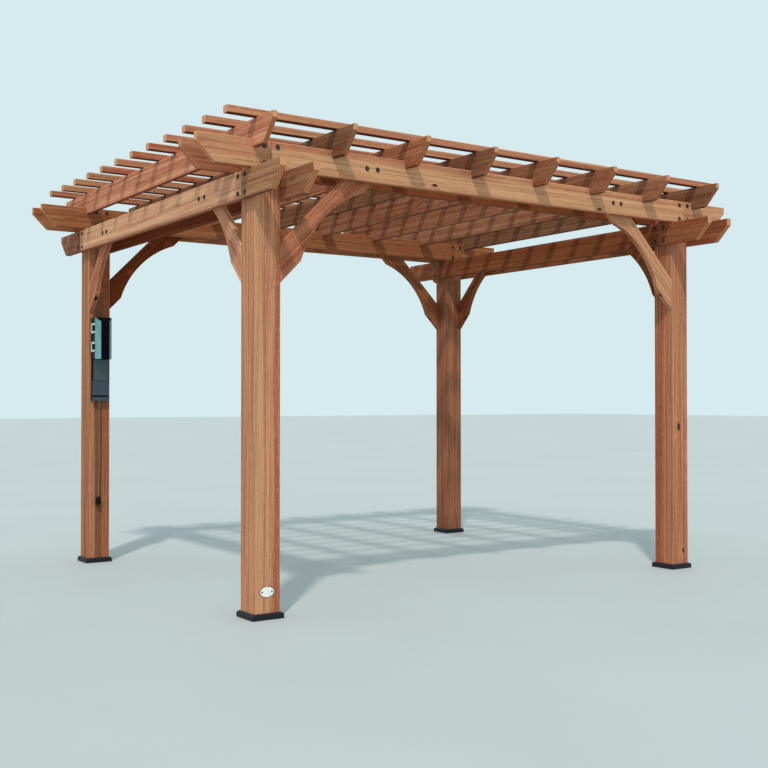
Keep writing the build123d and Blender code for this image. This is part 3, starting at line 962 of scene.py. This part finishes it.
    def braces(self) -> None:
        """Dress the braces, whose grain runs up at 45 degrees from the foot."""
        for index, node in enumerate(name for name in self.looks if name.endswith("_brace")):
            low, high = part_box(node)
            left, front = "left" in node, "front" in node
            if "cross" in node:
                grain = Grain.RISING_X if left else Grain.FALLING_X
                foot = (low[0] if left else high[0], (low[1] + high[1]) / 2, low[2])
            else:
                grain = Grain.RISING_Y if front else Grain.FALLING_Y
                foot = ((low[0] + high[0]) / 2, low[1] if front else high[1], low[2])
            up = np.array(grain.value[1]) * self.board_width / 2
            middle = tuple(float(v) for v in np.array(foot) + up)
            self.board(node, grain, Seeds.BRACES.at(index), middle=middle)

    def roof(self) -> None:
        """Dress the rafters and the slats on them."""
        for index in range(self.rafters):
            node = f"rafter_{index + 1}"
            self.board(node, Grain.ALONG_Y, Seeds.RAFTERS.at(index), red_cut=0.6, under=Shade.RAFTER)
        for index, place in enumerate(("front", "middle", "back")):
            node = f"{place}_roof_slats"
            row = (1, self.middle(node)[1] - 2 * self.slat_pitch, self.slat_pitch)
            seed = Seeds.SLATS.at(index)
            self.board(node, Grain.SLAT, seed, spread=0.8, cells=(row,), under=Shade.SLAT)

    def build(self) -> None:
        """Dress every board."""
        self.posts()
        self.beams()
        self.tails()
        self.braces()
        self.roof()


@dataclass
class Hardware:
    """Foot skirts, bolts and screws."""

    skirt: Plastic = Plastic(paint(20, 24, 34), paint(44, 49, 58), 0.2, 0.45, shine=0.25)
    steel: Metal = Metal()

    def build(self) -> None:
        """Dress the skirts and every bolt and screw."""
        skirt = self.skirt.material("skirt_plastic")
        for corner in CORNERS:
            dress(f"{corner}_foot_skirt", skirt)
        steel = self.steel.material("bolt_steel")
        for node in ("beam_bolts", "brace_bolts", "brace_screws"):
            dress(node, steel)


@dataclass
class Lead:
    """The short lead that hangs from the power box, with its tapered relief."""

    diameter: float = 0.008
    length: float = 0.598
    route: tuple[Point, ...] = (
        (-1.450, 1.055, 1.022),
        (-1.450, 1.055, 0.944),
        (-1.449, 1.053, 0.846),
        (-1.4485, 1.052, 0.738),
        (-1.4495, 1.052, 0.630),
        (-1.4515, 1.053, 0.522),
        (-1.454, 1.054, 0.424),
    )
    relief_top: float = 1.038
    relief_length: float = 0.034
    relief_wide: float = 0.0088
    relief_narrow: float = 0.0054
    relief_bend: float = 0.8
    ribs: int = 7
    rib_rows: int = 7
    rib_height: float = 0.0005
    ribbed: Span = (0.12, 0.97)
    rubber: Plastic = Plastic(paint(112, 90, 80), paint(146, 122, 110), 0.3, 0.45, 0.00005)
    shell: Plastic = Plastic(paint(12, 10, 10), paint(46, 36, 30), 0.15, 0.5, 0.00005, 0.12)

    def cord(self) -> Piece:
        """Lay the lead on one smooth spline through its route."""
        curve = bpy.data.curves.new("power_lead", "CURVE")
        curve.dimensions = "3D"
        curve.bevel_depth = self.diameter / 2
        curve.bevel_resolution = 6
        curve.use_fill_caps = True
        curve.resolution_u = 12
        spline = curve.splines.new("NURBS")
        spline.points.add(len(self.route) - 1)
        for point, place in zip(spline.points, self.route):
            point.co = (*place, 1.0)
        spline.order_u = 3
        spline.use_endpoint_u = True
        return placed("power_lead", curve)

    def relief(self) -> Piece:
        """Turn the relief: radius = wide to narrow by t to a power, + rib height x cos.

        The share t goes from 0 at the top to 1 at the bottom.
        """
        t = np.linspace(0, 1, self.rib_rows * self.ribs)
        radius = self.relief_wide + (self.relief_narrow - self.relief_wide) * t**self.relief_bend
        start, end = self.ribbed
        has_ribs = np.where((t > start) & (t < end), 1.0, 0.0)
        ribs = self.rib_height * np.cos(2 * np.pi * self.ribs * t) * has_ribs
        profile = np.stack([radius + ribs, -self.relief_length * t], axis=1)
        x, y, _ = self.route[0]
        return turned("lead_relief", profile[::-1], (x, y, self.relief_top), axis=2)

    def build(self) -> None:
        """Make the lead and its relief, and dress its plug."""
        rubber = self.rubber.material("lead_rubber")
        relief = ready(self.relief(), rubber)
        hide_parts("cord_gland")
        cord = ready(self.cord(), rubber)
        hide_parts("power_cord")
        dress("power_plug", self.shell.material("plug_plastic"))


@dataclass(frozen=True)
class Receptacle:
    """The black receptacle of an outlet: a rounded block with two slots and a hole."""

    half_deep: float = 0.0145
    half_high: float = 0.0200
    proud: float = 0.0108
    edge: float = 0.0012
    squareness: float = 7.0
    sink: float = 0.0018
    slot_out: float = 0.0045
    slot_up: float = 0.005
    slot_half_wide: float = 0.0011
    slot_half_high: float = 0.0046
    slot_wall: float = 0.0005
    hole_down: float = 0.0065
    hole_radius: float = 0.0026
    wall: float = 0.0006
    sides: int = 96
    edge_rows: int = 7
    face_rows: int = 46
    face: Span = (0.87, 0.02)

    def sunk(self, across: np.ndarray, up: np.ndarray) -> np.ndarray:
        """Give 1 in the slots and the hole and 0 outside, with a ramp as wide as the wall.

        Args:
            across: Places from the middle to the back.
            up: Places from the middle up.

        Returns:
            The share of the sink at each place.
        """
        aside = self.slot_half_wide - np.abs(np.abs(across) - self.slot_out)
        above = self.slot_half_high - np.abs(up - self.slot_up)
        slots = np.clip(aside / self.slot_wall, 0, 1) * np.clip(above / self.wall, 0, 1)
        inside = self.hole_radius - np.hypot(across, up + self.hole_down)
        return np.maximum(slots, np.clip(inside / self.wall, 0, 1))

    def mesh(self, name: str, centre: Point) -> Piece:
        """Make the block, facing -X.

        Outline = superellipse with 1 / reach = (|cos a|^n + |sin a|^n)^(1/n), shrunk by share
        s: first the foot, then a quarter circle of the edge's radius, then the flat face.

        Args:
            name: The piece's name.
            centre: The middle of its foot.

        Returns:
            The closed piece.
        """
        angle = np.linspace(0, 2 * np.pi, self.sides, endpoint=False)
        powers = np.abs(np.cos(angle)) ** self.squareness + np.abs(np.sin(angle)) ** self.squareness
        reach = powers ** (-1 / self.squareness)
        turn = np.linspace(0, np.pi / 2, self.edge_rows)
        round_in = self.edge / self.half_deep * (1 - np.cos(turn))
        round_up = self.proud - self.edge * (1 - np.sin(turn))
        share = np.concatenate([[1.0], 1 - round_in, np.linspace(*self.face, self.face_rows)])[:, None]
        height = np.concatenate([[0.0], round_up, np.full(self.face_rows, self.proud)])[:, None]
        across = share * self.half_deep * reach * np.cos(angle)
        up = share * self.half_high * reach * np.sin(angle)
        out = height - self.sink * self.sunk(across, up)
        points = np.stack([-out, across, up], axis=-1) + np.array(centre)
        return grid_mesh(name, points[:, ::-1], closed_u=True, caps=True)


@dataclass
class PowerBox:
    """The box on the back left post: housing, bezel, cover, panel and outlets."""

    housing: Plastic = Plastic(paint(11, 12, 13), paint(40, 42, 43), 0.12, 0.45, shine=0.15)
    cover: Plastic = Plastic(paint(44, 68, 71), paint(60, 82, 84), 0.3, 0.2)
    panel: Plastic = Plastic(paint(58, 72, 82), paint(72, 84, 92), 0.3, 0.42)
    white: Plastic = Plastic(paint(212, 212, 208), paint(180, 178, 172), 0.25, 0.4)
    socket: Plastic = Plastic(paint(7, 8, 9), paint(26, 27, 28), 0.15, 0.4, shine=0.12)
    bezel: Bezel = Bezel()
    receptacle: Receptacle = Receptacle()
    outlet_x: float = -1.4995
    outlet_y: float = 1.0150
    outlet_z: dict[str, float] = field(default_factory=lambda: {"upper": 1.502, "lower": 1.383})

    def build(self) -> None:
        """Dress the nodes of the box and fill its outlets."""
        black = self.socket.material("socket_plastic")
        for place, z in self.outlet_z.items():
            centre = (self.outlet_x, self.outlet_y, z)
            ready(self.receptacle.mesh(f"outlet_insert_{place}", centre), black)
        dress("power_box_body", self.housing.material("housing_plastic"))
        dress("power_box_bezel", self.bezel.material("bezel_gloss"))
        dress("power_box_cover", self.cover.material("cover_plastic", coat=0.6))
        dress("power_box_panel", self.panel.material("panel_plastic"))
        dress("power_outlets", self.white.material("outlet_plastic"))


@dataclass
class Plate:
    """The bare oval plate at the foot of the front left post, with its two screws."""

    centre: Point = (-1.446, -1.213, 0.131)
    half_width: float = 0.040
    half_height: float = 0.0267
    thick: float = 0.0022
    dish: tuple[Span, ...] = ((0.97, 0), (0.97, 0.5), (0.96, 0.55), (0.9, 0.58), (0.5, 0.66), (0.02, 0.7))
    rim: float = 0.0024
    screw_out: float = 0.0262
    screw_radius: float = 0.0044
    screw_dome: float = 0.0014
    screw_seat: float = 0.0012
    enamel: Plastic = Plastic(paint(238, 237, 230), paint(222, 218, 206), 0.3, 0.35, 0.00002)
    border: Plastic = Plastic(paint(92, 66, 50), paint(112, 88, 72), 0.3, 0.5, 0.00002, 0.15)
    steel: Plastic = Plastic(paint(12, 12, 12), paint(34, 32, 30), 0.2, 0.5, 0.00002, 0.15)

    def ovals(self, share: np.ndarray, height: np.ndarray) -> np.ndarray:
        """Give ellipses of points: centre + (s a cos u, -height, s b sin u).

        Args:
            share: Each ellipse's share s of the plate's size.
            height: How far out each ellipse is.

        Returns:
            Rows by columns by 3 numbers.
        """
        angle = np.linspace(0, 2 * np.pi, 72, endpoint=False)
        x = share[:, None] * self.half_width * np.cos(angle)
        z = share[:, None] * self.half_height * np.sin(angle)
        y = -height[:, None] + np.zeros_like(x)
        return np.stack([x, y, z], axis=-1) + np.array(self.centre)

    def oval(self) -> Piece:
        """Make the plate: ellipses that follow its section."""
        share, height = np.array(self.dish).T
        return grid_mesh("oval_plate", self.ovals(share, height * self.thick), closed_u=True, caps=True)

    def ring(self) -> Piece:
        """Make the rim: a small half round carried along the oval.

        Share = middle + half cos t and height = thick sin t, with t from 0 to pi, then the base.
        """
        half = self.rim / self.half_height / 2
        t = np.linspace(0, np.pi, 9)
        points = self.ovals(1 - half + half * np.cos(t), self.thick * np.sin(t))
        return grid_mesh("plate_rim", points, closed_u=True, caps=False, closed_v=True)

    def screw(self, side: int) -> Piece:
        """Turn one domed screw head: radius r sin t, height h cos t.

        Args:
            side: -1 for the left screw, 1 for the right one.

        Returns:
            The closed head.
        """
        t = np.linspace(0.05, np.pi / 2, 9)
        along = -self.screw_dome * np.cos(t) - self.screw_seat
        profile = np.stack([self.screw_radius * np.sin(t), along], axis=1)
        x, y, z = self.centre
        name = f"plate_screw_{'left' if side < 0 else 'right'}"
        return turned(name, profile, (x + side * self.screw_out, y, z), axis=1, sides=20)

    def build(self) -> None:
        """Make the plate, its rim and its screws."""
        ready(self.oval(), self.enamel.material("plate_enamel"))
        ready(self.ring(), self.border.material("plate_rim_enamel"))
        steel = self.steel.material("plate_screws")
        for side in (-1, 1):
            ready(self.screw(side), steel)


@dataclass
class Studio:
    """Pale floor, soft light and the camera."""

    lens: float = 52.424
    sensor: float = 36.0
    position: Point = (-3.9749, -5.9312, 1.0386)
    heading: float = -34.1504
    pitch: float = 0.8579
    sight: float = 200.0
    sun_strength: float = 2.0
    sun_angle: float = 3.0
    sun_travel: Point = (0.51, 0.60, -1.0)
    sun_colour: Point = (1.0, 0.965, 0.91)
    sky: Colour = (0.78, 0.965, 1.0, 1.0)
    sky_strength: float = 0.86
    floor_reach: float = 60.0
    floor_pitch: Point = (0.7, 0.7, 0.0)
    floor_rough: float = 0.75
    floor_pale: Colour = paint(183, 188, 188)
    floor_deep: Colour = paint(180, 184, 184)

    def floor(self) -> None:
        """Lay a plain pale floor: a square of one face."""
        edges = (-self.floor_reach, self.floor_reach)
        x, y = np.meshgrid(edges, edges)
        corners = np.stack([x, y, np.zeros_like(x)], axis=-1)
        made = grid_mesh("studio_floor", corners, closed_u=False, caps=False)
        g = Graph("floor_paint")
        cloud = g.lumps(self.floor_pitch, 4.0)
        colour = g.mix(cloud.rise(0.3, 0.7), self.floor_pale, self.floor_deep)
        made.data.materials.append(g.finish({"Base Color": colour, "Roughness": self.floor_rough}))

    def light(self) -> None:
        """Set a soft key light from the front left and a pale sky all round."""
        lamp = bpy.data.lights.new("key", "SUN")
        lamp.energy = self.sun_strength
        lamp.angle = math.radians(self.sun_angle)
        lamp.color = self.sun_colour
        key = placed("key", lamp)
        key.rotation_euler = Vector(self.sun_travel).to_track_quat("-Z", "Y").to_euler()
        world = bpy.data.worlds.new("studio_sky")
        world.use_nodes = True
        backdrop = world.node_tree.nodes["Background"]
        backdrop.inputs["Color"].default_value = self.sky
        backdrop.inputs["Strength"].default_value = self.sky_strength
        bpy.context.scene.world = world

    def camera(self) -> None:
        """Place the camera where the photograph was taken from."""
        data = bpy.data.cameras.new("camera")
        data.lens = self.lens
        data.sensor_width = self.sensor
        data.clip_end = self.sight
        made = placed("camera", data)
        made.location = self.position
        made.rotation_euler = Euler((math.radians(90 + self.pitch), 0.0, math.radians(self.heading)))
        bpy.context.scene.camera = made

    def build(self) -> None:
        """Set up floor, light, camera and plain colour handling."""
        self.floor()
        self.light()
        self.camera()
        bpy.context.scene.view_settings.view_transform = "Standard"


def main() -> None:
    """Build the parts in order."""
    logging.basicConfig(level=logging.INFO, format="%(message)s")
    for part in (Studio(), Lead(), Timber(), Hardware(), PowerBox(), Plate()):
        part.build()
        LOG.info("%s done", type(part).__name__)


if __name__ == "__main__":
    main()
